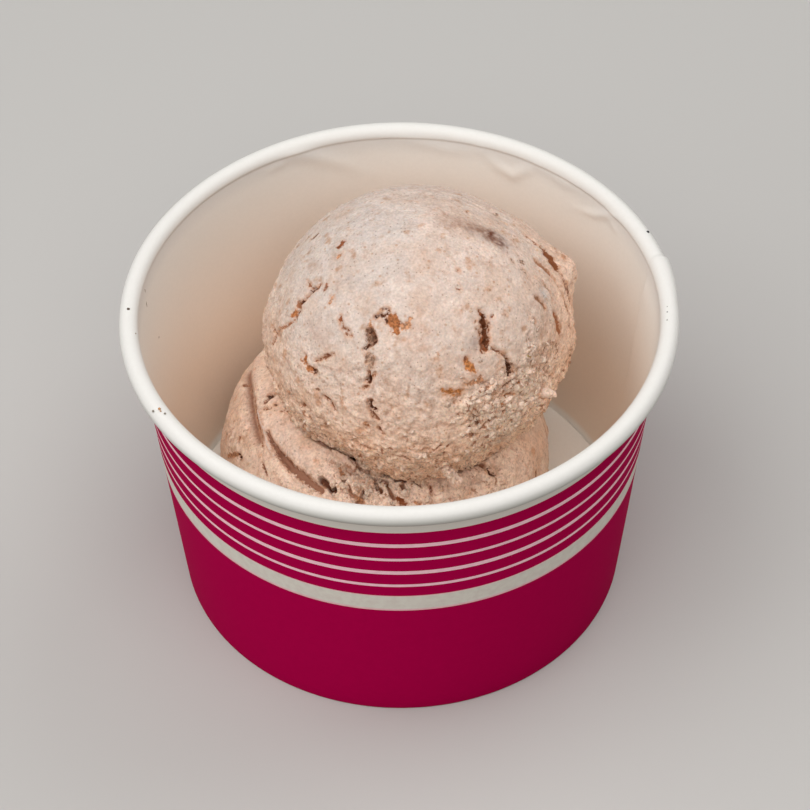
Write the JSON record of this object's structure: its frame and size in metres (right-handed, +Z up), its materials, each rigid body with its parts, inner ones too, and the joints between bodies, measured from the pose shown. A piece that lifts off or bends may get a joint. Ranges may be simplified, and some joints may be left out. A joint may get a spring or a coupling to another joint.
{
  "type": "gelato cup",
  "caption": "Flared paper cup with a rolled rim and a striped band, holding a round scoop of gelato pressed into a squat one.",
  "frame": {"origin": "middle of the cup's foot, on the surface that it stands on", "axes": "+Z up along the cup's axis, -Y towards the front of the cup, +X to its right"},
  "size_m": [0.096, 0.096, 0.072],
  "materials": {
    "printed_paper": "coated board, magenta print with off-white stripes",
    "plain_paper": "coated white board",
    "gelato": "pale nut gelato, finely grained, with brown flecks"
  },
  "bodies": {
    "root": {"cup_wall": "printed_paper", "cup_floor": "plain_paper", "gelato_base": "gelato", "gelato_ball": "gelato"}
  },
  "joints": []
}
